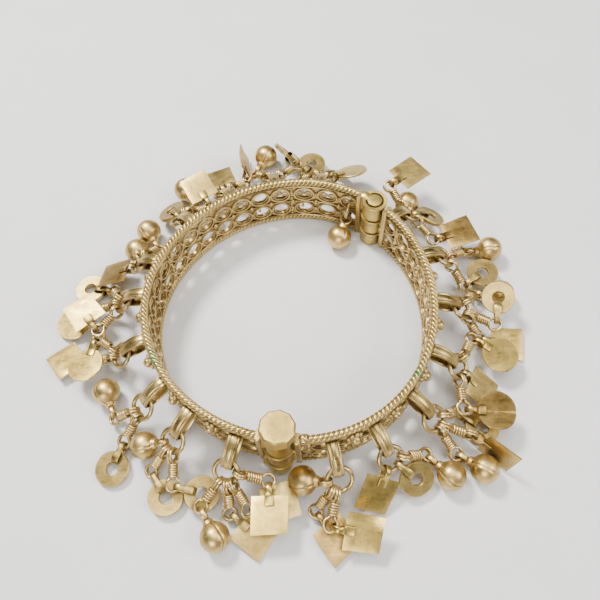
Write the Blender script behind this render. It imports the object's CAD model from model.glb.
import math
import random

import bpy
import numpy as np
from mathutils import Matrix, Vector


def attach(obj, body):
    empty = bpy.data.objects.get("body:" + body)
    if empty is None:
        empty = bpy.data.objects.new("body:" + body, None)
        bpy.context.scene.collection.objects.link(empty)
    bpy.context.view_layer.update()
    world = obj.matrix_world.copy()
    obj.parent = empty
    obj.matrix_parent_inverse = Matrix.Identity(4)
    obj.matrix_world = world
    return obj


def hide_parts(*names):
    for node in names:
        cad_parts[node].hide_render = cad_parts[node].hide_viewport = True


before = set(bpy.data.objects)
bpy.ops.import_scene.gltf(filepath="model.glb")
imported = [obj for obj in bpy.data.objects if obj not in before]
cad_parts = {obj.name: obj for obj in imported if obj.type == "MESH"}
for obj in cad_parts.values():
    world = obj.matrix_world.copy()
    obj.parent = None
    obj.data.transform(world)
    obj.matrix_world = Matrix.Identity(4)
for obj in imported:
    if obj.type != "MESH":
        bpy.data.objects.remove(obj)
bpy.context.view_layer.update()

MM = 0.001
rng = random.Random(11)

# Sizes, in millimetres, as in the CAD source
BAND_WIDTH, CORNER_SHIFT, BAND_H = 64, 3.6, 15.4
ROPE_R = 0.9
HINGE_AT, CLASP_AT = 46.7, 260
BARREL_R, HINGE_PIN_R, CLASP_PIN_R, PIN_CLEAR = 3.05, 2.15, 1.6, 0.07
CLASP_LEAN, HEAD_R, HEAD_H, HEAD_LIFT = 8.5, 3.75, 3, 0.5
BAIL_W, BAIL_H, BAIL_T, BAIL_SLOPE = 2.8, 3.8, 0.55, 30
BAIL_FOOT, BAIL_LENGTH, BAIL_TOP_Z = 1.6, 4, 11.5
RING_R, RING_WIRE_R, RING_SLOPE, RING_HOLD = 2.6, 0.5, 38, 0.2
EYE_R, EYE_SLACK, EYE_GAP = 1.4, 0.45, 6
LINK_LENGTH = EYE_SLACK + EYE_GAP
STRAP_R, STRAP_T, STRAP_W, STRAP_SLACK = 1.3, 0.35, 1.1, 0.25
BALL_R, SQUARE_W, DISC_R, PLATE_T = 3.1, 7.6, 4.1, 0.6
WASHER_R, HOLE_R, WASHER_T, COLLAR_H = 3.75, 1.4, 0.9, 0.4
GAP_PITCH = 5.1
POST_T, SEAM_W = 1.2, 1
KNOB_W, KNOB_RISE = 1.8, 0.6
ROW_Z = [(0.5 - 0.182) * BAND_H, (0.5 + 0.182) * BAND_H]
LONG_BAILS = [76, 96, 114, 132, 154, 171, 193, 214, 228, 246]
SHORT_BAILS = [279, 297, 317, 337, 357, 376, 397]
BAILS = LONG_BAILS + SHORT_BAILS
# From where to where each knuckle runs along its pin. The middle one belongs to the short half.
HINGE_LEVELS = [(0, 4.8), (5.2, 10), (10.4, 15.4)]
CLASP_LEVELS = [(-9.5, -5.9), (-5.3, -1), (-0.5, 4.7)]
CLASP_MIDDLE_Z = 10.5
# How far the middle of a charm is from the inside of its strap.
MIDDLE_FROM_STRAP = {
    "ball": STRAP_R + STRAP_T / 2 + COLLAR_H + BALL_R,
    "washer": WASHER_R + 0.95,
    "disc": STRAP_R + DISC_R,
    "diamond": STRAP_R + SQUARE_W / math.sqrt(2) - 0.5,
    "square": STRAP_R + SQUARE_W / 2,
}

# Bail, kind, x, y, z of the middle, link (1) or none (0), side of the bend, height of the outer eye, roll,
# in mm and degrees. The charms are numbered from 1 in this order.
CHARMS = [
    (0, "disc", 18, 39.9, 7, 0, 1, 0, 0),
    (0, "washer", 8.1, 47.9, 2.4, 1, 1, 2.6, 0),
    (0, "washer", 13.8, 43.5, 2.8, 0, 1, 0, 0),
    (1, "ball", -4.4, 50.9, 3.6, 1, 1, 3, 0),
    (1, "washer", 0.8, 50.4, 4.2, 1, -1, 5.4, 55),
    (2, "square", -10.7, 48.4, 4.2, 1, -1, 3.8, 75),
    (2, "square", -16.7, 42.7, 5, 0, 1, 0, 0),
    (3, "square", -22.6, 38.9, 6.8, 1, -1, 5.4, 0),
    (3, "ball", -26.4, 41.4, 4, 1, -1, 3, 0),
    (3, "washer", -30.4, 35, 3, 0, 1, 0, 0),
    (4, "ball", -35.8, 28.8, 4, 1, -1, 3.6, 0),
    (4, "ball", -38.4, 22.7, 3.6, 0, 1, 0, 0),
    (4, "square", -43.9, 15.1, 4.6, 0, 1, 0, 0),
    (5, "washer", -50, 13.2, 2.4, 1, -1, 2.8, 0),
    (5, "disc", -53.4, 3.8, 2, 1, -1, 3, 0),
    (5, "square", -48.8, 4.4, 6.8, 1, 1, 7, 0),
    (6, "diamond", -54.6, -5.4, 2, 1, 1, 2.8, 10),
    (6, "disc", -47.4, -9, 5.6, 1, -1, 5.2, 10),
    (7, "ball", -43, -14.8, 3.6, 1, 1, 2.6, 0),
    (7, "washer", -41, -32, 1.9, 1, -1, 2.8, 0),
    (8, "ball", -34.6, -28, 3.4, 0, 1, 0, 0),
    (8, "washer", -28.9, -38.7, 2, 1, -1, 2.4, 0),
    (8, "washer", -21.2, -38.4, 2.4, 1, -1, 4.4, 0),
    (9, "ball", -18.2, -47.4, 3.6, 1, -1, 4, 0),
    (9, "square", -10.4, -47.3, 1.6, 1, -1, 2.4, 0),
    (9, "square", -7.3, -44.4, 6, 1, 1, 5.8, 0),
    (9, "square", -4.9, -41.4, 3.6, 1, -1, 3.8, 0),
    (10, "ball", -0.4, -39.6, 5, 0, 1, 0, 0),
    (10, "square", 6.2, -49.2, 1.6, 1, -1, 2.4, 0),
    (10, "square", 11.4, -48.6, 5, 1, -1, 5.4, 25),
    (11, "square", 14.8, -42.2, 3.6, 0, 1, 0, 0),
    (11, "washer", 24.6, -39.6, 3, 0, 1, 0, 0),
    (11, "ball", 31, -38.8, 3.8, 1, 1, 3.8, 0),
    (12, "ball", 38, -38, 4.2, 1, -1, 3.2, 0),
    (12, "square", 40.9, -35.8, 4.6, 1, 1, 4.8, 80),
    (12, "washer", 40, -28.8, 2, 1, 1, 2.4, 0),
    (13, "disc", 42.2, -26.4, 6.4, 1, -1, 6.4, 10),
    (13, "square", 40.6, -20.6, 3.6, 0, 1, 0, 0),
    (13, "disc", 46, -13.6, 5, 1, 1, 5.6, 0),
    (14, "square", 49.6, -9.5, 1.9, 1, -1, 2.6, 8),
    (14, "washer", 47.6, -0.2, 7.4, 1, -1, 5.5, -8),
    (14, "ball", 50.4, 3.2, 3.8, 1, 1, 3, 0),
    (15, "washer", 47.2, 9.5, 3, 1, -1, 3, 0),
    (15, "ball", 50.3, 15.9, 4, 1, 1, 3, 0),
    (16, "square", 42.4, 19, 7.2, 1, -1, 6.6, 0),
    (16, "washer", 38, 26.4, 3.4, 0, 1, 0, 0),
    (16, "ball", 32.2, 32.2, 2.8, 0, 1, 0, 0),
    (16, "square", 32.6, 36.3, 9.4, 1, 1, 9.2, 0),
]


# The outline and the frames along it
def direction(a):
    return np.array([math.cos(math.radians(a)), math.sin(math.radians(a)), 0.0])


def along(a):
    return direction(a + 90)


UP = np.array([0.0, 0.0, 1.0])


def arc_number(at):
    return math.floor((at + 30) / 60)


def arc_centre(k):
    return CORNER_SHIFT * direction(60 * k + (0 if k % 2 else 180))


def arc_radius(k):
    return BAND_WIDTH / 2 + CORNER_SHIFT * math.cos(math.radians(30)) * (-1 if k % 2 else 1)


def outline(at, out, z):
    k = arc_number(at)
    return arc_centre(k) + (arc_radius(k) + out) * direction(at) + z * UP


def unit(v):
    return v / np.linalg.norm(v)


def square_to(v, axis):
    return unit(v - np.dot(v, axis) * axis)


def degrees_of(length, at):
    return math.degrees(length / arc_radius(arc_number(at)))


BARREL_ROOM = BARREL_R + 0.35
LONG_START = HINGE_AT + degrees_of(BARREL_ROOM, HINGE_AT)
LONG_END = CLASP_AT - degrees_of(BARREL_ROOM, CLASP_AT)
SHORT_START = CLASP_AT + degrees_of(BARREL_ROOM, CLASP_AT)
SHORT_END = 360 + HINGE_AT - degrees_of(BARREL_ROOM, HINGE_AT)


def arcs(start, end):
    """(from, to, number) of each arc of the outline between two angles."""
    for k in range(arc_number(start), arc_number(end) + 1):
        yield max(start, 60 * k - 30), min(end, 60 * k + 30), k


def walk(start, end, step):
    """Angles along the outline, about step mm apart, with both ends."""
    angles = []
    for a, b, k in arcs(start, end):
        n = max(1, round(math.radians(b - a) * arc_radius(k) / step))
        angles += [a + (b - a) * i / n for i in range(n)]
    return angles + [end]


# Hanging: where each link and charm is
def sloping(at, slope):
    return math.cos(math.radians(slope)) * direction(at) - math.sin(math.radians(slope)) * UP


def ring_centre(at):
    return (outline(at, BAIL_FOOT, BAIL_TOP_Z) + (BAIL_LENGTH + RING_HOLD) * sloping(at, BAIL_SLOPE)
            + RING_R * sloping(at, RING_SLOPE))


def ring_point(at, station):
    s = math.radians(station)
    return ring_centre(at) + RING_R * (math.cos(s) * sloping(at, RING_SLOPE) + math.sin(s) * along(at))


def ring_tangent(at, station):
    s = math.radians(station)
    return math.cos(s) * along(at) - math.sin(s) * sloping(at, RING_SLOPE)


def level(length, drop):
    return math.sqrt(max(length * length - drop * drop, 0.01))


class Hanging:
    """The place of one charm, and of its link if it has one."""

    def __init__(self, number, row):
        bail, self.kind, x, y, z, links, bend, eye_z, roll = row
        self.number, self.linked, self.on_long = number, links == 1, bail < len(LONG_BAILS)
        at = BAILS[bail]
        target = np.array([x, y, z], float)
        to = target - ring_centre(at)
        far = math.hypot(to[0], to[1])
        turn = math.degrees(math.atan2(to[1], to[0]))
        if self.linked:
            a = 0.9 * RING_R + level(LINK_LENGTH, ring_point(at, 0)[2] + 0.4 - eye_z)
            b = level(EYE_R + STRAP_SLACK + MIDDLE_FROM_STRAP[self.kind], eye_z - z)
            cosine = (a * a + far * far - b * b) / (2 * a * far)
            turn += bend * math.degrees(math.acos(max(-1, min(1, cosine))))
        off = math.radians(turn - at)
        lean = math.cos(math.radians(RING_SLOPE))
        station = math.degrees(math.atan2(math.sin(off) * lean, math.cos(off)))
        self.start = ring_point(at, station)
        tangent = ring_tangent(at, station)
        if self.linked:
            rise = eye_z - self.start[2]
            self.link_way = unit(level(LINK_LENGTH, rise) * direction(turn) + rise * UP)
            self.end = self.start + LINK_LENGTH * self.link_way
            self.side = square_to(tangent, self.link_way)
            self.way = unit(target - self.end)
            up = square_to(UP, self.way)
            r = math.radians(roll)
            self.face = math.cos(r) * up + math.sin(r) * np.cross(self.way, up)
            self.eye_normal = square_to(self.face, self.link_way)
            hold = self.end + EYE_R * unit(square_to(self.way, self.eye_normal) + 0.2 * self.link_way)
        else:
            self.way = square_to(target - self.start, tangent)
            self.face = np.cross(self.way, tangent)
            hold = self.start
        self.strap = hold + STRAP_SLACK * self.way
        self.axes = np.array([self.way, np.cross(self.face, self.way), self.face])
        self.node = f"{self.kind}_charm_{number:02d}"
        self.body = "long_side" if self.on_long else "short_side"


hangings = [Hanging(i + 1, row) for i, row in enumerate(CHARMS)]


# Mesh building
class Build:
    """Collects pieces of mesh in millimetres and makes one object of them."""

    def __init__(self):
        self.verts, self.faces, self.count = [], [], 0

    def add(self, verts, faces):
        verts = np.asarray(verts, float)
        self.verts.append(verts)
        self.faces += [tuple(i + self.count for i in f) for f in faces]
        self.count += len(verts)

    def object(self, name, body, slot, material, *nodes, smooth=40):
        mesh = bpy.data.meshes.new(name)
        verts = np.concatenate(self.verts) * MM
        verts[:, 2] = np.maximum(verts[:, 2], 0)
        mesh.from_pydata(verts.tolist(), [], self.faces)
        mesh.validate()
        for poly in mesh.polygons:
            poly.use_smooth = True
        obj = bpy.data.objects.new(name, mesh)
        bpy.context.scene.collection.objects.link(obj)
        mesh.materials.append(material)
        mesh.set_sharp_from_angle(angle=math.radians(smooth))
        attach(obj, body)
        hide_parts(*nodes)


def round_profile(r, sides):
    return [(r * math.cos(2 * math.pi * i / sides), r * math.sin(2 * math.pi * i / sides)) for i in range(sides)]


def flat_side(width, height):
    """The flat side of a strap's section, with eased corners."""
    return [(width / 2 * u, height * v) for u, v in ((0.97, 0.6), (0.8, 1), (-0.8, 1), (-0.97, 0.6))]


def strip_profile(width, thick, flutes=0):
    """A flat strap's section: width along the first axis, rounded edges, flutes on its outer face."""
    n = max(6, flutes * 6)
    outer = []
    for i in range(n + 1):
        u = -1 + 2 * i / n
        height = 0.5 * math.sqrt(max(0.0, 1 - abs(u) ** 8))
        if flutes:
            height += 0.22 * abs(math.sin(math.pi * flutes * (u + 1) / 2)) - 0.22
        outer.append((width / 2 * u, thick * height))
    return outer + flat_side(width, -thick / 2)


def swept_faces(n, m, closed, cap):
    """The faces between n sections of m points each."""
    faces = []
    for i in range(n if closed else n - 1):
        a, b = i * m, ((i + 1) % n) * m
        faces += [(a + j, a + (j + 1) % m, b + (j + 1) % m, b + j) for j in range(m)]
    if cap and not closed:
        faces += [tuple(range(m))[::-1], tuple(range((n - 1) * m, n * m))]
    return faces


def sweep(points, profile, closed=False, first=None, cap=True, widths=None):
    """Sweeps a profile along points. first is the direction of the profile's first axis at the start.
    widths scales the profile along that axis at each point."""
    pts = [np.asarray(p, float) for p in points]
    n, m = len(pts), len(profile)
    tangents = []
    for i in range(n):
        a = pts[(i - 1) % n] if closed or i else pts[0]
        b = pts[(i + 1) % n] if closed or i < n - 1 else pts[-1]
        tangents.append(unit(b - a))
    x = first if first is not None else (UP if abs(tangents[0][2]) < 0.9 else direction(0))
    verts = []
    for p, t, wide in zip(pts, tangents, widths or [1] * n):
        x = square_to(x, t)
        y = np.cross(t, x)
        verts += [p + wide * u * x + v * y for u, v in profile]
    return verts, swept_faces(n, m, closed, cap)


def sweep_ring(points, firsts, profile):
    """A closed sweep with the direction of the profile's first axis given at each point."""
    verts = []
    for i, (p, first) in enumerate(zip(points, firsts)):
        t = unit(points[(i + 1) % len(points)] - points[i - 1])
        x = square_to(first, t)
        y = np.cross(t, x)
        verts += [p + u * x + v * y for u, v in profile]
    return verts, swept_faces(len(points), len(profile), True, False)


def ball(centre, r, steps, rings):
    verts = [centre + r * UP, centre - r * UP]
    for j in range(1, rings):
        phi = math.pi * j / rings
        for i in range(steps):
            a = 2 * math.pi * i / steps
            verts.append(centre + r * np.array([math.sin(phi) * math.cos(a), math.sin(phi) * math.sin(a),
                                                math.cos(phi)]))

    def corner(j, i):
        return 2 + (j - 1) * steps + i % steps

    faces = []
    for i in range(steps):
        faces.append((0, corner(1, i), corner(1, i + 1)))
        faces.append((1, corner(rings - 1, i + 1), corner(rings - 1, i)))
        for j in range(1, rings - 1):
            faces.append((corner(j, i), corner(j + 1, i), corner(j + 1, i + 1), corner(j, i + 1)))
    return verts, faces


def lathe(origin, x, y, z, outline_rz, steps, closed=False, wobble=None):
    """Turns (radius, height) pairs round z. Pairs run up the outside; closed joins the last to the first."""
    verts, faces, m = [], [], len(outline_rz)
    for i in range(steps):
        a = 2 * math.pi * i / steps
        d = math.cos(a) * x + math.sin(a) * y
        verts += [origin + (r * (wobble(a, h) if wobble else 1)) * d + h * z for r, h in outline_rz]
    for i in range(steps):
        p, q = i * m, ((i + 1) % steps) * m
        faces += [(p + j, q + j, q + (j + 1) % m, p + (j + 1) % m) for j in range(m if closed else m - 1)]
    if not closed:
        faces += [tuple(i * m for i in range(steps))[::-1], tuple(i * m + m - 1 for i in range(steps))]
    return verts, faces


def box_bar(centre, axes, size, soft):
    """A bar with eased edges: size along each of its axes."""
    hx, hy, hz = [s / 2 for s in size]
    section = []
    for sx, sy in [(1, 1), (-1, 1), (-1, -1), (1, -1)]:
        a, b = (sx * (hx - soft), sy * hy), (sx * hx, sy * (hy - soft))
        section += [b, a] if sx * sy > 0 else [a, b]
    rows = [(-hz, 1 - soft / hx), (-hz + soft, 1), (hz - soft, 1), (hz, 1 - soft / hx)]
    verts = [centre + k * u * axes[0] + k * v * axes[1] + h * axes[2] for h, k in rows for u, v in section]
    faces = [(r * 8 + j, r * 8 + (j + 1) % 8, (r + 1) * 8 + (j + 1) % 8, (r + 1) * 8 + j)
             for r in range(3) for j in range(8)]
    return verts, faces + [tuple(range(8))[::-1], tuple(range(24, 32))]


def smooth_path(knots, per):
    """A Catmull-Rom curve through the knots, with per steps from one to the next."""
    k = [knots[0], *knots, knots[-1]]
    out = []
    for p0, p1, p2, p3 in zip(k, k[1:], k[2:], k[3:]):
        for j in range(per):
            t = j / per
            out.append(0.5 * (2 * p1 + (p2 - p0) * t + (2 * p0 - 5 * p1 + 4 * p2 - p3) * t * t
                              + (3 * p1 - p0 - 3 * p2 + p3) * t ** 3))
    return out + [k[-1]]


# Materials
def node(tree, kind, **values):
    n = tree.nodes.new(kind)
    for key, value in values.items():
        if key in n.inputs:
            n.inputs[key].default_value = value
        else:
            setattr(n, key, value)
    return n


def colour(r, g, b):
    """An sRGB colour from 0 to 255 as linear light."""
    def channel(c):
        c /= 255
        return c / 12.92 if c <= 0.04045 else ((c + 0.055) / 1.055) ** 2.4
    return (channel(r), channel(g), channel(b), 1)


def ramp(tree, fac, stops):
    r = tree.nodes.new("ShaderNodeValToRGB")
    tree.links.new(fac, r.inputs["Fac"])
    while len(r.color_ramp.elements) < len(stops):
        r.color_ramp.elements.new(0.5)
    for e, (pos, col) in zip(r.color_ramp.elements, stops):
        e.position, e.color = pos, col if len(col) == 4 else (*col, 1)
    return r.outputs["Color"]


def grey(v):
    return (v, v, v, 1)


def shade(tree, fac, low, high, a, b):
    """A grey that runs from a to b while fac runs from low to high."""
    return ramp(tree, fac, [(low, grey(a)), (high, grey(b))])


def scaled(col, k):
    return tuple(min(1, c * k) for c in col[:3]) + (1,)


def mix(tree, fac, a, b, mode="MIX"):
    m = node(tree, "ShaderNodeMix", data_type="RGBA", blend_type=mode)
    for value, socket in ((fac, m.inputs[0]), (a, m.inputs[6]), (b, m.inputs[7])):
        if isinstance(value, (tuple, float, int)):
            socket.default_value = value
        else:
            tree.links.new(value, socket)
    return m.outputs[2]


def worn_metal(name, light, mid, dark, rough=(0.28, 0.5), grain=900, bump=0.25, dents=0.3, crevice=1.2,
               spots=()):
    """Old silver: rubbed bright where it is touched, brown in the hollows, scratched and a little dented.

    light, mid and dark are sRGB colours from 0 to 255, and rough is the roughness of clean and of dull patches.
    Noise scales such as grain are per metre. crevice is how near another surface, in mm, a hollow turns brown.
    spots are stains: the middle and the radius in mm, and the colour."""
    light, mid, dark = (colour(*c) for c in (light, mid, dark))
    mat = bpy.data.materials.new(name)
    mat.use_nodes = True
    t = mat.node_tree
    t.nodes.clear()
    out = node(t, "ShaderNodeOutputMaterial")
    bsdf = node(t, "ShaderNodeBsdfPrincipled", Metallic=1.0)
    t.links.new(bsdf.outputs[0], out.inputs["Surface"])
    place = node(t, "ShaderNodeTexCoord").outputs["Object"]

    def noise(scale, detail=3.0, grit=0.55, stretch=None):
        source = place
        if stretch:
            m = node(t, "ShaderNodeMapping", Scale=stretch)
            t.links.new(place, m.inputs["Vector"])
            source = m.outputs[0]
        n = node(t, "ShaderNodeTexNoise", Scale=float(scale), Detail=detail, Roughness=grit)
        t.links.new(source, n.inputs["Vector"])
        return n.outputs["Fac"]

    fine = noise(grain, 5, 0.65)
    scratch = noise(260, 6, 0.7, (1.0, 9.0, 3.0))
    # colour: patches, specks, brown in the hollows, bright on the edges, then the stains
    base = ramp(t, noise(140, 4), [(0.34, scaled(mid, 0.84)), (0.62, light)])
    base = mix(t, 1.0, base, shade(t, fine, 0.3, 0.55, 0.72, 1.0), "MULTIPLY")
    hollow = node(t, "ShaderNodeAmbientOcclusion", samples=6, Distance=crevice * MM)
    dirt = shade(t, hollow.outputs["AO"], 0.42, 0.97, 1.0, 0.0)
    dirt = mix(t, 1.0, dirt, shade(t, noise(420, 3), 0.25, 0.55, 0.6, 1.0), "MULTIPLY")
    base = mix(t, dirt, base, dark)
    edges = node(t, "ShaderNodeNewGeometry").outputs["Pointiness"]
    base = mix(t, shade(t, edges, 0.505, 0.56, 0.0, 0.55), base, scaled(light, 1.12))
    for centre, radius, tint in spots:
        where = node(t, "ShaderNodeVectorMath", operation="DISTANCE")
        t.links.new(place, where.inputs[0])
        where.inputs[1].default_value = [c * MM for c in centre]
        near = node(t, "ShaderNodeMapRange", **{"From Min": radius * MM, "From Max": 0.3 * radius * MM})
        t.links.new(where.outputs["Value"], near.inputs["Value"])
        blot = mix(t, 1.0, near.outputs["Result"], shade(t, noise(700, 3), 0.4, 0.58, 0.0, 0.9), "MULTIPLY")
        base = mix(t, blot, base, tint)
    t.links.new(base, bsdf.inputs["Base Color"])
    # roughness: patches, dull dirt and faint scratches
    roughness = shade(t, noise(380, 4), 0.3, 0.7, *rough)
    roughness = mix(t, dirt, roughness, grey(0.72))
    roughness = mix(t, shade(t, scratch, 0.42, 0.62, 0.0, 0.35), roughness, grey(rough[1] + 0.1))
    t.links.new(roughness, bsdf.inputs["Roughness"])
    # bump: grain, dents and scratches, each with its strength and its depth in mm
    normal = None
    for height, strength, depth in ((fine, bump, 0.05), (noise(230, 2), dents, 0.25), (scratch, bump * 0.8, 0.04)):
        b = node(t, "ShaderNodeBump", Strength=strength, Distance=depth * MM)
        t.links.new(height, b.inputs["Height"])
        if normal:
            t.links.new(normal, b.inputs["Normal"])
        normal = b.outputs[0]
    t.links.new(normal, bsdf.inputs["Normal"])
    return mat


VERDIGRIS = colour(104, 156, 106)
GREEN_TRACES = ((outline(205, 0, BAND_H - 0.3), 4, VERDIGRIS), (outline(324, 0, BAND_H - 0.3), 3.2, VERDIGRIS))
rope_metal = worn_metal("rope_metal", (208, 182, 118), (170, 143, 86), (40, 28, 12), rough=(0.22, 0.38),
                        crevice=1.1, spots=GREEN_TRACES)
band_metal = worn_metal("band_metal", (212, 184, 122), (156, 129, 76), (28, 19, 9), rough=(0.2, 0.36), crevice=3.1)
ring_metal = worn_metal("ring_metal", (206, 179, 120), (154, 128, 78), (34, 24, 12), rough=(0.22, 0.38), crevice=1.7)
wire_metal = worn_metal("wire_metal", (212, 185, 125), (158, 131, 80), (26, 18, 8), rough=(0.22, 0.38), crevice=1.5)
plate_metal = worn_metal("plate_metal", (198, 172, 104), (170, 145, 84), (74, 56, 30), rough=(0.3, 0.46),
                         grain=1400, bump=0.3, dents=0.35)
gold_metal = worn_metal("gold_metal", (190, 158, 92), (156, 126, 68), (58, 43, 21), rough=(0.26, 0.42), grain=1400)
pale_metal = worn_metal("pale_metal", (210, 182, 102), (184, 155, 84), (90, 70, 38), rough=(0.24, 0.38),
                        grain=1400, bump=0.2)
ball_metal = worn_metal("ball_metal", (217, 188, 122), (188, 159, 98), (44, 31, 15), rough=(0.3, 0.45), crevice=0.9)
pin_metal = worn_metal("pin_metal", (204, 177, 102), (177, 150, 82), (48, 35, 17), rough=(0.3, 0.44))


# The band
ROPE_PITCH, STRAND_R, STRAND_AT = 3.15, 0.41, 0.49
# Width and height of the flat rails, of the beads on their inside, and of the two wires of the middle rail.
RAIL, BEAD, MIDDLE_WIRE = (1.5, 0.72), (0.52, 0.5), (0.46, 0.46)
# Radius, width and thickness of the two rings round each gap, and half a cell's length where they are round.
OUTER_RING, INNER_RING, ROUND_CELL = (2.36, 1.5, 0.42), (1.86, 0.9, 0.26), 2.62
CELL_H, CELL_HOLE_R, SHEET_T = 5.6, 2.05, 0.5
CURL_WIRE_R = 0.24


def rope(build, start, end, z, phase):
    """Three strands twisted round each other along the outline."""
    angles = walk(start, end, 0.24)
    centres = [outline(a, 0, z) for a in angles]
    lengths = np.concatenate([[0], np.cumsum([np.linalg.norm(b - a) for a, b in zip(centres, centres[1:])])])
    for k in range(3):
        pts = []
        for a, c, s in zip(angles, centres, lengths):
            turn = phase + 2 * math.pi * (s / ROPE_PITCH + k / 3)
            pts.append(c + STRAND_AT * (math.cos(turn) * direction(a) + math.sin(turn) * UP))
        build.add(*sweep(pts, round_profile(STRAND_R, 7)))


def rail(build, start, end, z, width, height, out=0.0):
    pts = [outline(a, out, z) for a in walk(start, end, 1.2)]
    build.add(*sweep(pts, [(height / 2 * math.sin(t), width / 2 * math.cos(t))
                           for t in np.linspace(0, 2 * math.pi, 12, endpoint=False)], first=UP))


def on_wall(at, s, out, z):
    """A point of the wall: s mm along from at, out mm off its middle."""
    return outline(at + degrees_of(s, at), out, z)


def wall_ring(build, at, z, r, width, thick, oval):
    """A flat wire on edge, bent to a ring that goes through the wall."""
    steps = 26
    quarter = [(0.5 * width, 0.3 * thick), (0.36 * width, 0.5 * thick)]
    section = [(0.5 * width, -0.3 * thick)] + quarter + [(-u, v) for u, v in quarter[::-1]]
    section += [(-u, -v) for u, v in quarter] + [(0.36 * width, -0.5 * thick)]
    pts, firsts = [], []
    for a in np.linspace(0, 2 * math.pi, steps, endpoint=False):
        s = oval * r * math.cos(a)
        pts.append(on_wall(at, s, 0, z + r * math.sin(a)))
        firsts.append(direction(at + degrees_of(s, at)))
    build.add(*sweep_ring(pts, firsts, section))


def plate_cell(build, at, z, width, height, hole, thick):
    """The sheet round one gap: a cell of the wall with a round hole."""
    n = 24
    verts = []
    for out in (thick / 2, -thick / 2):
        for on_rim in (False, True):
            for i in range(n):
                a = 2 * math.pi * (i + 0.5) / n
                c, s = math.cos(a), math.sin(a)
                far = min(width / 2 / max(abs(c), 1e-6), height / 2 / max(abs(s), 1e-6)) if on_rim else hole
                verts.append(on_wall(at, far * c, out, z + far * s))
    faces = []
    for i in range(n):
        j = (i + 1) % n
        faces += [(i, n + i, n + j, j), (2 * n + j, 3 * n + j, 3 * n + i, 2 * n + i), (j, 2 * n + j, 2 * n + i, i)]
    build.add(verts, faces)


def curl(build, at, z, side, out):
    """An S of thin wire inside an upper ring."""
    knots = []
    for t in np.linspace(-1, 1, 13):
        a = 2.6 * math.pi * abs(t) ** 0.8
        r = 0.95 - 0.55 * abs(t)
        lobe = 1 if t > 0 else -1
        knots.append((lobe * (0.95 - r * math.cos(a)), side * lobe * r * math.sin(a) * 0.9))
    pts = [on_wall(at, x * 0.95, out, z + y) for x, y in knots]
    build.add(*sweep(smooth_path(pts, 3), round_profile(CURL_WIRE_R, 6), first=direction(at)))


def dot(build, at, s, out, z, r, steps=10, rings=7):
    build.add(*ball(on_wall(at, s, out, z), r, steps, rings))


def bail_profile(width, thick):
    """A strap's section with rolled edges, two grooves on the outside and a crown between them."""
    outer = []
    for u in np.linspace(-1, 1, 23):
        crown = 0.2 * (1 - u * u) + 0.1 * math.exp(-((abs(u) - 0.82) / 0.13) ** 2)
        groove = 0.17 * math.exp(-((abs(u) - 0.5) / 0.11) ** 2)
        outer.append((width / 2 * u, -(thick / 2 + crown - groove) * max(0.0, 1 - abs(u) ** 12) ** 0.5))
    return (outer + flat_side(width, thick / 2))[::-1]


def closed_cell(wall, low, high):
    """A piece of wall that is too short for a gap, with a big granule in each row."""
    half_h, half_t = 5.8, 0.45
    wall.add(*sweep([outline(a, 0, BAND_H / 2) for a in walk(low, high, 0.6)],
                    [(-half_h, -half_t), (half_h, -half_t), (half_h, half_t), (-half_h, half_t)], first=UP))
    for z in ROW_Z:
        for out in (-0.5, 0.5):
            dot(wall, (low + high) / 2, 0, out, z, 0.7, 14, 9)


def gap_pair(wall, at, cell, grain):
    """An upper and a lower gap, with the granules at their ends. cell is their length along the wall."""
    oval = min(cell / 2 / ROUND_CELL, 1.06)
    for row, z in enumerate(ROW_Z):
        wall_ring(wall, at, z, *OUTER_RING, oval)
        wall_ring(wall, at, z, *INNER_RING, oval)
        plate_cell(wall, at, z, cell, CELL_H, CELL_HOLE_R, SHEET_T)
        if row and rng.random() < 0.8:
            curl(wall, at, z, rng.choice((-1, 1)), rng.uniform(-0.3, -0.1))
        for out, size in ((-0.42, grain), (0.46, 1)):
            dot(wall, at, cell / 2, out, z, rng.uniform(0.42, 0.52) * size)
            if rng.random() < 0.7:
                dot(wall, at, rng.uniform(-0.2, 0.2), out, z + (2.5 if row else -2.5), rng.uniform(0.3, 0.4))
    for out, size in ((-0.5, grain), (0.55, 1)):
        dot(wall, at, cell / 2, out, BAND_H / 2, rng.uniform(0.5, 0.62) * size)


def beaded_seam(wall, at):
    """The strip over the joint of two arcs, with a row of granules on each face."""
    beads, margin = 9, 2.9
    wall.add(*box_bar(outline(at, 0, BAND_H / 2), [direction(at), along(at), UP],
                      (0.5, SEAM_W + 0.5, BAND_H - 3), 0.1))
    for i in range(beads):
        z = margin + (BAND_H - 2 * margin) * i / (beads - 1)
        for out in (-0.42, 0.42):
            dot(wall, at, 0, out, z, 0.46 if i % 2 else 0.36)


def bail(straps, at):
    """A grooved strap that comes out of the wall under the rope and bends back."""
    way = sloping(at, BAIL_SLOPE)
    over = np.cross(way, along(at))
    high = (BAIL_H - BAIL_T) / 2
    far = BAIL_LENGTH / 2 + high
    middle = outline(at, BAIL_FOOT, BAIL_TOP_Z) + BAIL_LENGTH / 2 * way
    path, widths = [], []
    for a in np.linspace(0, 2 * math.pi, 30, endpoint=False):
        c, s = math.cos(a), math.sin(a)
        path.append(middle + far * c * way + high * s * over)
        widths.append(1 - 0.06 * (c + 1))
    straps.add(*sweep(path, bail_profile(BAIL_W, BAIL_T), closed=True, first=along(at), widths=widths))


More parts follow.
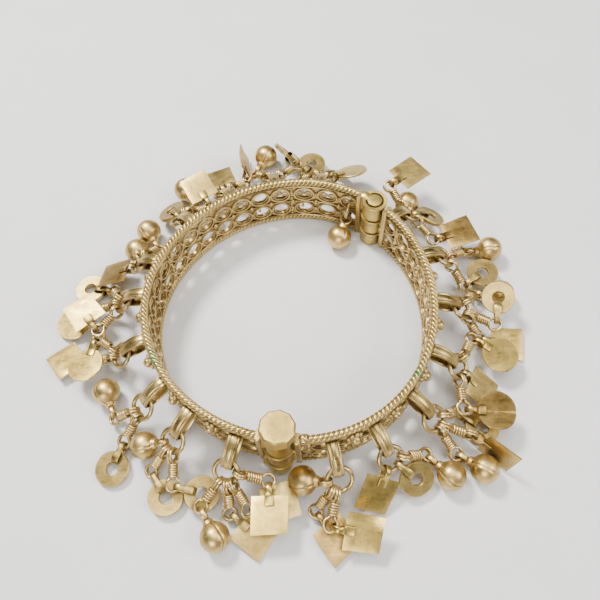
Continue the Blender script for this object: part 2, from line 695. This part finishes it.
def rosette(wall, at):
    """A boss between two bails with seven granules round it, and five more in the lower row."""
    z = BAND_H - 3.5
    dot(wall, at, 0, 1.5, z, 1.15, 18, 11)
    for i in range(7):
        a = 2 * math.pi * i / 7 + 0.3
        dot(wall, at, 1.25 * math.cos(a), 1.0, z + 1.3 * math.sin(a), 0.58)
    for i in range(5):
        a = 2 * math.pi * i / 5
        dot(wall, at, 0.95 * math.cos(a), 0.7, ROW_Z[0] + 0.95 * math.sin(a), 0.42)


def end_post(wall, at, side, knob):
    """The post that closes the wall at one end, with the clasp's knob beside it if knob is true."""
    axes = [direction(at), along(at), UP]
    h = BAND_H - 0.2
    wall.add(*box_bar(outline(at, 0, 0.1 + h / 2) + side * (POST_T / 2 - 0.1) * along(at), axes,
                      (2.4, POST_T, h), 0.22))
    if knob:
        place = outline(at, 0, BAND_H + KNOB_RISE - KNOB_W / 2) + (POST_T - 0.2 + KNOB_W / 2) * along(at)
        wall.add(*box_bar(place, axes, (KNOB_W, KNOB_W, KNOB_W), 0.4))
        wall.add(*ball(place + 0.3 * UP - 0.15 * along(at), 0.86, 14, 10))


def band_half(name, body, start, end, bails, knob, grain):
    """One half of the band. Its granules on the inside are grain times the size of those outside."""
    ropes, wall, straps = Build(), Build(), Build()
    for z, phase in ((ROPE_R, 0.4), (BAND_H - ROPE_R, 1.7)):
        rope(ropes, start, end, z, phase)
    for z in (ROPE_R * 2 + 0.2, BAND_H - ROPE_R * 2 - 0.2):
        rail(wall, start, end, z, *RAIL)
        rail(ropes, start, end, z, *BEAD, -0.42)
    for out in (-0.5, 0.5):
        rail(wall, start, end, BAND_H / 2, *MIDDLE_WIRE, out)
    for a, b, k in arcs(start, end):
        side = math.degrees(SEAM_W / 4 / arc_radius(k))
        low = a if a == start else a + side
        high = b if b == end else b - side
        length = math.radians(high - low) * arc_radius(k)
        n = round((length - 1) / GAP_PITCH)
        if n < 1:
            closed_cell(wall, low, high)
        for i in range(n):
            gap_pair(wall, low + (high - low) * (i + 0.5) / n, length / n, grain)
        if b != end:
            beaded_seam(wall, b)
    for at in bails:
        bail(straps, at)
    for p, q in zip(bails, bails[1:]):
        rosette(wall, (p + q) / 2)
    end_post(wall, start, 1, knob)
    end_post(wall, end, -1, False)
    ropes.object(name + "_ropes", body, "silver", rope_metal, name, smooth=60)
    wall.object(name + "_filigree", body, "silver", band_metal, name)
    straps.object(name + "_bails", body, "silver", rope_metal, name, smooth=50)


band_half("long_half", "long_side", LONG_START, LONG_END, LONG_BAILS, knob=False, grain=1)
band_half("short_half", "short_side", SHORT_START, SHORT_END, SHORT_BAILS, knob=True, grain=1.55)


# Hinge and clasp
def knuckle_profile(low, high, bore):
    """A short cup with a thin bright rim at its top, a little narrower below."""
    r = BARREL_R
    return [(bore, low + 0.05), (r - 0.4, low), (r - 0.3, low + 0.12), (r - 0.18, high - 0.7),
            (r - 0.18, high - 0.5), (r, high - 0.42), (r, high - 0.1), (r - 0.08, high), (bore, high - 0.05)]


lean = math.radians(CLASP_LEAN)
hinge_foot = outline(HINGE_AT, 0, 0)
clasp_middle = outline(CLASP_AT, 0, CLASP_MIDDLE_Z)
clasp_x = math.cos(lean) * direction(CLASP_AT) + math.sin(lean) * UP
clasp_z = -math.sin(lean) * direction(CLASP_AT) + math.cos(lean) * UP
clasp_axes = (clasp_x, np.cross(clasp_z, clasp_x), clasp_z)
hinge_axes = (direction(HINGE_AT), along(HINGE_AT), UP)
upright = (direction(0), along(0), UP)
ARM_SIZE, ARM_OUT = (2, 2.6), 1.35 * BARREL_ROOM / 2


def knuckles(name, body, side, which):
    """The knuckles of one half with their arms. side is the half's side of the hinge, the opposite at the clasp."""
    b = Build()
    for foot, turned, axes, levels, bore, way in (
            (hinge_foot, upright, hinge_axes, HINGE_LEVELS, HINGE_PIN_R, side),
            (clasp_middle, clasp_axes, clasp_axes, CLASP_LEVELS, CLASP_PIN_R, -side)):
        for low, high in levels[which]:
            b.add(*lathe(foot, *turned, knuckle_profile(low, high, bore + PIN_CLEAR), 64, closed=True))
            middle = foot + way * ARM_OUT * axes[1] + (low + high) / 2 * axes[2]
            b.add(*box_bar(middle, axes, (*ARM_SIZE, high - low), 0.2))
    b.object(name + "_knuckles", body, "silver", pin_metal, name, smooth=35)


knuckles("long_half", "long_side", 1, slice(0, 3, 2))
knuckles("short_half", "short_side", -1, slice(1, 2))


def hammered(a, h):
    """Eight shallow dents round the top of the hinge pin."""
    return 1 - 0.02 * abs(math.sin(4 * a + 0.6)) * (h > 14)


b = Build()
b.add(*lathe(hinge_foot, *upright, [(0.0, 0.2), (HINGE_PIN_R - 0.1, 0.2), (HINGE_PIN_R, 0.4), (HINGE_PIN_R, 14.2),
                                    (1.82, 14.4), (1.86, 15.2), (1.7, 15.5), (1.2, 15.58), (0.0, 15.55)],
             48, wobble=hammered))
b.object("hinge_pin_detail", "long_side", "worn_silver", pin_metal, "hinge_pin", smooth=35)

HEAD_SIDES = 10


def clasp_pin(build):
    """A round shaft under a head with ten flats."""
    steps = 3 * HEAD_SIDES
    foot, top_of_knuckle = CLASP_LEVELS[2]
    low = top_of_knuckle + HEAD_LIFT
    top = low + HEAD_H
    inner = 0.93 * HEAD_R
    radius_height = [(1.5, foot), (1.55, low - 0.01), (inner, low), (HEAD_R, low + 0.25), (HEAD_R, top - 0.22),
                     (0.985 * inner, top), (0.6 * inner, top)]
    per = 2 * math.pi / HEAD_SIDES
    verts = []
    for r, h in radius_height:
        for i in range(steps):
            a = 2 * math.pi * i / steps
            flat = math.cos(per / 2) / math.cos(a % per - per / 2) if r > 2 else 1
            d = math.cos(a) * clasp_axes[0] + math.sin(a) * clasp_axes[1]
            verts.append(clasp_middle + r * flat * (0.995 + 0.005 * math.sin(2 * a + h)) * d + h * clasp_z)
    build.add(verts, swept_faces(len(radius_height), steps, False, True))


b = Build()
clasp_pin(b)
b.object("clasp_pin_detail", "clasp_pin_body", "bright_silver", pin_metal, "clasp_pin", smooth=28)


# Jump rings
def jump_ring(build, centre, x, y):
    """Thick wire bent round by hand, with its two ends meeting at a cut."""
    n = 40
    gap = rng.uniform(0, 360)
    bend = rng.uniform(-0.1, 0.1)
    z = np.cross(x, y)
    pts = []
    for i in range(n + 1):
        a = math.radians(gap + 2.2 + (360 - 4.4) * i / n)
        lift = 0.8 * bend * math.sin(math.pi * (i / n - 0.5))
        r = RING_R + 0.03 * math.sin(2 * a + gap)
        pts.append(centre + r * (math.cos(a) * x + math.sin(a) * y) + lift * z)
    build.add(*sweep(pts, round_profile(RING_WIRE_R, 12), first=z))


inner_at = LONG_START + (90 - LONG_START) / 6
for name, body, bails in (("long_rings", "long_side", LONG_BAILS), ("short_rings", "short_side", SHORT_BAILS)):
    b = Build()
    for at in bails:
        jump_ring(b, ring_centre(at), sloping(at, RING_SLOPE), along(at))
    if name == "long_rings":
        jump_ring(b, outline(inner_at, 0, BAND_H / 2), direction(inner_at), UP)
    b.object(name + "_detail", body, "worn_silver", ring_metal, name, smooth=60)


# Wrapped links
LOOP_WIRE_R, LOOP_SPREAD = 0.3, 0.29
COIL_WIRE_R, COIL_R = 0.265, 0.88


def twin_loop(build, centre, x, z, neck):
    """Two wires side by side, bent to a loop whose ends go back into the coil. x points away from the coil."""
    y = np.cross(z, x)
    knots = [(-neck, -0.36), (-1.25, -0.62)]
    for a in (-125, -90, -50, 0, 50, 90, 125):
        knots.append((EYE_R * math.cos(math.radians(a)), EYE_R * math.sin(math.radians(a))))
    knots += [(-1.25, 0.62), (-neck, 0.36)]
    twist = rng.uniform(-0.12, 0.12)
    for side in (-LOOP_SPREAD, LOOP_SPREAD):
        pts = [centre + u * x + v * y + (side + twist * v * 0.3) * z for u, v in knots]
        build.add(*sweep(smooth_path(pts, 4), round_profile(LOOP_WIRE_R, 7), first=z, cap=False))


def coil(build, base, axis, x, length):
    """The wire wound round the loops' ends, whose last turn is tucked in, and the two wires that run through it."""
    y = np.cross(axis, x)
    turns = rng.choice((5.1, 5.6, 6.1))
    n = round(turns * 14)
    phase = rng.uniform(0, 6.28)
    pts = []
    for i in range(n + 1):
        a = phase + 2 * math.pi * turns * i / n
        r = COIL_R + 0.048 * math.sin(3.1 * math.pi * i / n + phase)
        pts.append(base + (0.05 + (length - 0.1) * i / n) * axis + r * (math.cos(a) * x + math.sin(a) * y))
    outward = unit(pts[-1] - base - np.dot(pts[-1] - base, axis) * axis)
    pts.append(pts[-1] + 0.5 * unit(pts[-1] - pts[-2]) + 0.16 * outward)
    build.add(*sweep(pts, round_profile(COIL_WIRE_R, 7), first=axis))
    for s in (-0.3, 0.3):
        build.add(*sweep([base + s * x, base + s * x + length * axis], round_profile(LOOP_WIRE_R, 7),
                         first=x, cap=False))


def link(build, h):
    inner = h.start + EYE_SLACK * h.link_way
    twin_loop(build, inner, -h.link_way, h.side, EYE_R + 0.5)
    twin_loop(build, h.end, h.link_way, h.eye_normal, EYE_R + 0.5)
    coil(build, inner + (EYE_R + 0.1) * h.link_way, h.link_way, h.side, EYE_GAP - 2 * EYE_R - 0.2)


for name, body, on_long in (("long_links", "long_side", True), ("short_links", "short_side", False)):
    b = Build()
    for h in hangings:
        if h.linked and h.on_long == on_long:
            link(b, h)
    b.object(name + "_wrapped", body, "worn_silver", wire_metal, name, smooth=60)


# Charms
class Frame:
    """A charm's own frame: x away from the wire it hangs from, z off its face."""

    def __init__(self, origin, axes):
        self.origin, self.axes = origin, axes

    def at(self, x, y, z):
        return self.origin + x * self.axes[0] + y * self.axes[1] + z * self.axes[2]


def flare(f, point, more):
    """How much wider a strap is at a point than at the wire it hangs from."""
    t = min(max((np.dot(point - f.origin, f.axes[0]) - 0.5) / 1.1, 0), 1)
    return 1 + more * t * t * (3 - 2 * t)


def strap_over_plate(build, f, tail):
    """A strap bent round the wire, with one end soldered on the plate's face and the other under it."""
    top = PLATE_T / 2 + 0.13
    knots = [(STRAP_R + tail, top), (STRAP_R + 0.6 * tail, top), (STRAP_R + 0.1, top + 0.12), (0.85, 1.02),
             (0, STRAP_R)]
    for a in (135, 180, 225):
        knots.append((STRAP_R * math.cos(math.radians(a)), STRAP_R * math.sin(math.radians(a))))
    knots += [(0, -STRAP_R), (0.85, -1.02), (STRAP_R + 0.1, -top - 0.12), (STRAP_R + 0.45 * tail, -top)]
    path = smooth_path([f.at(u, 0, v) for u, v in knots], 3)
    build.add(*sweep(path, strip_profile(STRAP_W, 0.32), first=f.axes[1],
                     widths=[flare(f, p, 0.7) for p in path]))


def bent(u, v, bow, twist, corner):
    """How far a plate's face stands off flat: u and v run from -1 to 1."""
    return bow * (u * u - 0.4) + twist * u * v + corner * max(0, u + v - 1.1) ** 1.5


def plate_grid(build, f, cx, half, turn, bow, twist, corner):
    """A cut square of sheet with eased edges, a little bowed and twisted. turn is its angle about the face."""
    n = 10
    c, s = math.cos(math.radians(turn)), math.sin(math.radians(turn))
    skew = [rng.uniform(-0.05, 0.05) for _ in range(4)]
    verts = []
    for face in (1, -1):
        for i in range(n + 1):
            for j in range(n + 1):
                u, v = -1 + 2 * i / n, -1 + 2 * j / n
                rim = max(abs(u), abs(v)) > 0.999
                x = half * (u + skew[0] * v * (u > 0)) * (1 - 0.012 * rim * (face < 0))
                y = half * (v + skew[1] * u + skew[2] * u * v) * (1 - 0.012 * rim * (face < 0))
                z = face * SHEET_T / 2 * (0.72 if rim else 1) + bent(u, v, bow, twist, corner)
                verts.append(f.at(cx + c * x - s * y, s * x + c * y, z))
    m = (n + 1) ** 2

    def corner_at(i, j):
        return i * (n + 1) + j

    faces = []
    for i in range(n):
        for j in range(n):
            q = (corner_at(i, j), corner_at(i + 1, j), corner_at(i + 1, j + 1), corner_at(i, j + 1))
            faces.append(q)
            faces.append(tuple(m + k for k in q[::-1]))
    edge = ([corner_at(i, 0) for i in range(n)] + [corner_at(n, j) for j in range(n)]
            + [corner_at(i, n) for i in range(n, 0, -1)] + [corner_at(0, j) for j in range(n, 0, -1)])
    for a, b in zip(edge, edge[1:] + edge[:1]):
        faces.append((a, m + a, m + b, b))
    build.add(verts, faces)


def disc_grid(build, f, cx, r_out, r_in, thick, bow, fold):
    """A round of sheet, with a hole if r_in is above 0, dished by bow and folded along its middle by fold."""
    steps, rings, lip = 48, 7, 0.09
    verts = []
    radii = [r_in + (r_out - r_in) * k / rings for k in range(rings + 1)]
    prof = [(r_in, thick / 2 - lip), (r_in + lip, thick / 2)] + [(r, thick / 2) for r in radii[1:-1]]
    prof += [(r_out - lip, thick / 2), (r_out, thick / 2 - lip)]
    prof += [(r, -z) for r, z in prof[::-1]]
    if r_in == 0:
        prof = [(max(r, 0.001), z) for r, z in prof[1:-1]]
    m = len(prof)
    egg = rng.uniform(0, 6.28)
    for i in range(steps):
        a = 2 * math.pi * i / steps
        for r, z in prof:
            r2 = r * (1 + 0.012 * math.sin(2 * a + egg) + 0.006 * math.sin(5 * a))
            x, y = r2 * math.cos(a), r2 * math.sin(a)
            verts.append(f.at(cx + x, y, z + bow * ((r / r_out) ** 2 - 0.5) + fold * (abs(y) / r_out - 0.4)))
    faces = []
    for i in range(steps):
        p, q = i * m, ((i + 1) % steps) * m
        faces += [(p + j, p + (j + 1) % m, q + (j + 1) % m, q + j) for j in range(m if r_in else m - 1)]
    if r_in == 0:
        faces += [tuple(i * m for i in range(steps)), tuple(i * m + m - 1 for i in range(steps))[::-1]]
    build.add(verts, faces)


def strap_ring(f, x, angles):
    """Points of a strap's round end, whose middle is x along its frame. Angles are in degrees."""
    return [f.at(x + STRAP_R * math.cos(math.radians(a)), 0, STRAP_R * math.sin(math.radians(a))) for a in angles]


def ball_charm(build, f):
    """A fluted loop, a small cup, and two hammered halves with their seam through the loop."""
    x, y, z = f.axes
    middle = MIDDLE_FROM_STRAP["ball"]
    base = middle - BALL_R
    build.add(*sweep(strap_ring(f, 0, np.linspace(0, 360, 28, endpoint=False)), strip_profile(STRAP_W, STRAP_T, 2),
                     closed=True, first=y))
    cup = [(0.4, STRAP_R - 0.1), (0.95, STRAP_R), (1.12, STRAP_R + 0.18), (1.2, base + 0.1), (1.3, base + 0.28),
           (0.6, base + 0.3)]
    build.add(*lathe(f.origin, y, z, x, cup, 24))
    steps, rings = 60, 30
    seam_turn = rng.uniform(0, math.pi)
    dents = [(rng.uniform(0, 6.28), rng.uniform(0.5, 2.6), rng.uniform(0.02, 0.05)) for _ in range(4)]
    verts = []
    for j in range(rings + 1):
        phi = math.pi * min(max(j / rings, 0.012), 0.988)
        for i in range(steps):
            a = 2 * math.pi * i / steps
            off = abs(math.sin(a - seam_turn)) * math.sin(phi) * BALL_R
            r = BALL_R - 0.05
            r += 0.04 * math.exp(-((off - 0.42) / 0.24) ** 2) - 0.14 * math.exp(-(off / 0.15) ** 2)
            for da, dp, depth in dents:
                d = (math.sin((a - da) / 2) * 2 * math.sin(phi)) ** 2 + (phi - dp) ** 2
                r -= depth * math.exp(-d / 0.06)
            verts.append(f.at(middle - r * math.cos(phi), r * math.sin(phi) * math.cos(a),
                              r * math.sin(phi) * math.sin(a)))
    faces = []
    for j in range(rings):
        for i in range(steps):
            p, q = j * steps + i, j * steps + (i + 1) % steps
            faces.append((p, q, q + steps, p + steps))
    faces += [tuple(range(steps))[::-1], tuple(range(rings * steps, (rings + 1) * steps))]
    build.add(verts, faces)


def washer_charm(build, f):
    """A flat strap from the wire through the washer's hole and back, and the washer."""
    middle = MIDDLE_FROM_STRAP["washer"]
    length = middle - HOLE_R - STRAP_R + 0.1

    def straight(side, shares):
        return [f.at(length * s, 0, side * STRAP_R * (1 - 0.06 * math.sin(math.pi * s))) for s in shares]

    path = (strap_ring(f, 0, np.linspace(90, 270, 11)) + straight(-1, (0.3, 0.7))
            + strap_ring(f, length, np.linspace(-90, 90, 11)) + straight(1, (0.7, 0.3)))
    build.add(*sweep(path, strip_profile(STRAP_W, STRAP_T), closed=True, first=f.axes[1],
                     widths=[flare(f, p, 0.45) for p in path]))
    disc_grid(build, f, middle, WASHER_R, HOLE_R, WASHER_T, rng.uniform(-0.08, 0.08), 0)


# The number of the disc that is folded along its middle.
FOLDED_DISC = 37
for h in hangings:
    b, f = Build(), Frame(h.strap, h.axes)
    if h.kind == "ball":
        ball_charm(b, f)
        metal = ball_metal
    elif h.kind == "washer":
        washer_charm(b, f)
        metal = plate_metal
    elif h.kind == "disc":
        folded = h.number == FOLDED_DISC
        strap_over_plate(b, f, 1.7)
        disc_grid(b, f, MIDDLE_FROM_STRAP["disc"], DISC_R, 0, SHEET_T, rng.uniform(-0.12, 0.12), 1.5 if folded else 0)
        metal = gold_metal if folded else pale_metal
    else:
        strap_over_plate(b, f, 2.0)
        turn = 45 if h.kind == "diamond" else rng.uniform(-2, 2)
        plate_grid(b, f, MIDDLE_FROM_STRAP[h.kind], SQUARE_W / 2 - 0.08, turn, rng.uniform(-0.14, 0.14),
                   rng.uniform(-0.12, 0.12), rng.choice((0, 0, 0.5, -0.4)))
        metal = rng.choice((plate_metal, pale_metal, plate_metal, gold_metal))
    b.object(h.node + "_detail", h.body, "silver", metal, h.node, smooth=42)

# The ball inside the band hangs inward from its ring, down by this slope.
slope = math.radians(36)
inner_way = -math.cos(slope) * direction(inner_at) - math.sin(slope) * UP
inner_side = -math.sin(slope) * direction(inner_at) + math.cos(slope) * UP
b = Build()
ball_charm(b, Frame(outline(inner_at, 0, BAND_H / 2) + (RING_R + STRAP_SLACK) * inner_way,
                    np.array([inner_way, inner_side, np.cross(inner_way, inner_side)])))
b.object("inner_ball_detail", "long_side", "silver", ball_metal, "inner_ball_charm", smooth=42)


# Floor, light and camera
def paper(name, base, rough):
    mat = bpy.data.materials.new(name)
    mat.use_nodes = True
    t = mat.node_tree
    bsdf = t.nodes["Principled BSDF"]
    n = node(t, "ShaderNodeTexNoise", Scale=60.0, Detail=4.0)
    t.links.new(node(t, "ShaderNodeTexCoord").outputs["Object"], n.inputs["Vector"])
    t.links.new(shade(t, n.outputs["Fac"], 0.3, 0.7, 0.97 * base, base), bsdf.inputs["Base Color"])
    bsdf.inputs["Roughness"].default_value = rough
    return mat


# In metres.
FLOOR_HALF, FLOOR_UNDER = 3, 0.0001
mesh = bpy.data.meshes.new("floor")
mesh.from_pydata([(x * FLOOR_HALF, y * FLOOR_HALF, 0) for x, y in ((-1, -1), (1, -1), (1, 1), (-1, 1))], [],
                 [(0, 1, 2, 3)])
floor = bpy.data.objects.new("floor", mesh)
floor.location.z = -FLOOR_UNDER
mesh.materials.append(paper("floor_paper", 0.72, 0.9))
bpy.context.scene.collection.objects.link(floor)

WARM_WHITE = (1, 0.98, 0.95)
world = bpy.data.worlds.new("soft_room")
bpy.context.scene.world = world
world.use_nodes = True
background = world.node_tree.nodes["Background"]
background.inputs["Color"].default_value = (*WARM_WHITE, 1)
background.inputs["Strength"].default_value = 0.2


def soft_light(name, place, size, power):
    """A round lamp that points at the middle of the band: metres and watts."""
    data = bpy.data.lights.new(name, "AREA")
    data.shape, data.size, data.energy, data.color = "DISK", size, power, WARM_WHITE
    obj = bpy.data.objects.new(name, data)
    obj.location = place
    obj.rotation_mode = "QUATERNION"
    obj.rotation_quaternion = (-Vector(place)).to_track_quat("-Z", "Y")
    bpy.context.scene.collection.objects.link(obj)


soft_light("key", (-0.18, 0.22, 0.42), 0.12, 4.6)
soft_light("top", (0.05, 0.02, 0.6), 0.4, 2.2)
soft_light("fill", (0.36, -0.12, 0.34), 0.3, 2.0)
soft_light("front", (-0.12, -0.4, 0.24), 0.22, 1.3)

# The camera that fits the photograph: its place in mm, how far it looks down, and its roll.
CAMERA = (2.085, -64.09, 132.7255)
elevation, roll = math.radians(61.88), math.radians(-4.11)
forward = np.array([0, math.cos(elevation), -math.sin(elevation)])
right0, up0 = direction(0), np.array([0, math.sin(elevation), math.cos(elevation)])
right = math.cos(roll) * right0 + math.sin(roll) * up0
upward = -math.sin(roll) * right0 + math.cos(roll) * up0
cam_data = bpy.data.cameras.new("camera")
cam_data.lens, cam_data.sensor_width = 36.44, 36
cam_data.clip_start, cam_data.clip_end = 0.005, 10
cam = bpy.data.objects.new("camera", cam_data)
cam.matrix_world = Matrix([[right[i], upward[i], -forward[i], CAMERA[i] * MM] for i in range(3)]
                          + [[0, 0, 0, 1]])
bpy.context.scene.collection.objects.link(cam)
bpy.context.scene.camera = cam
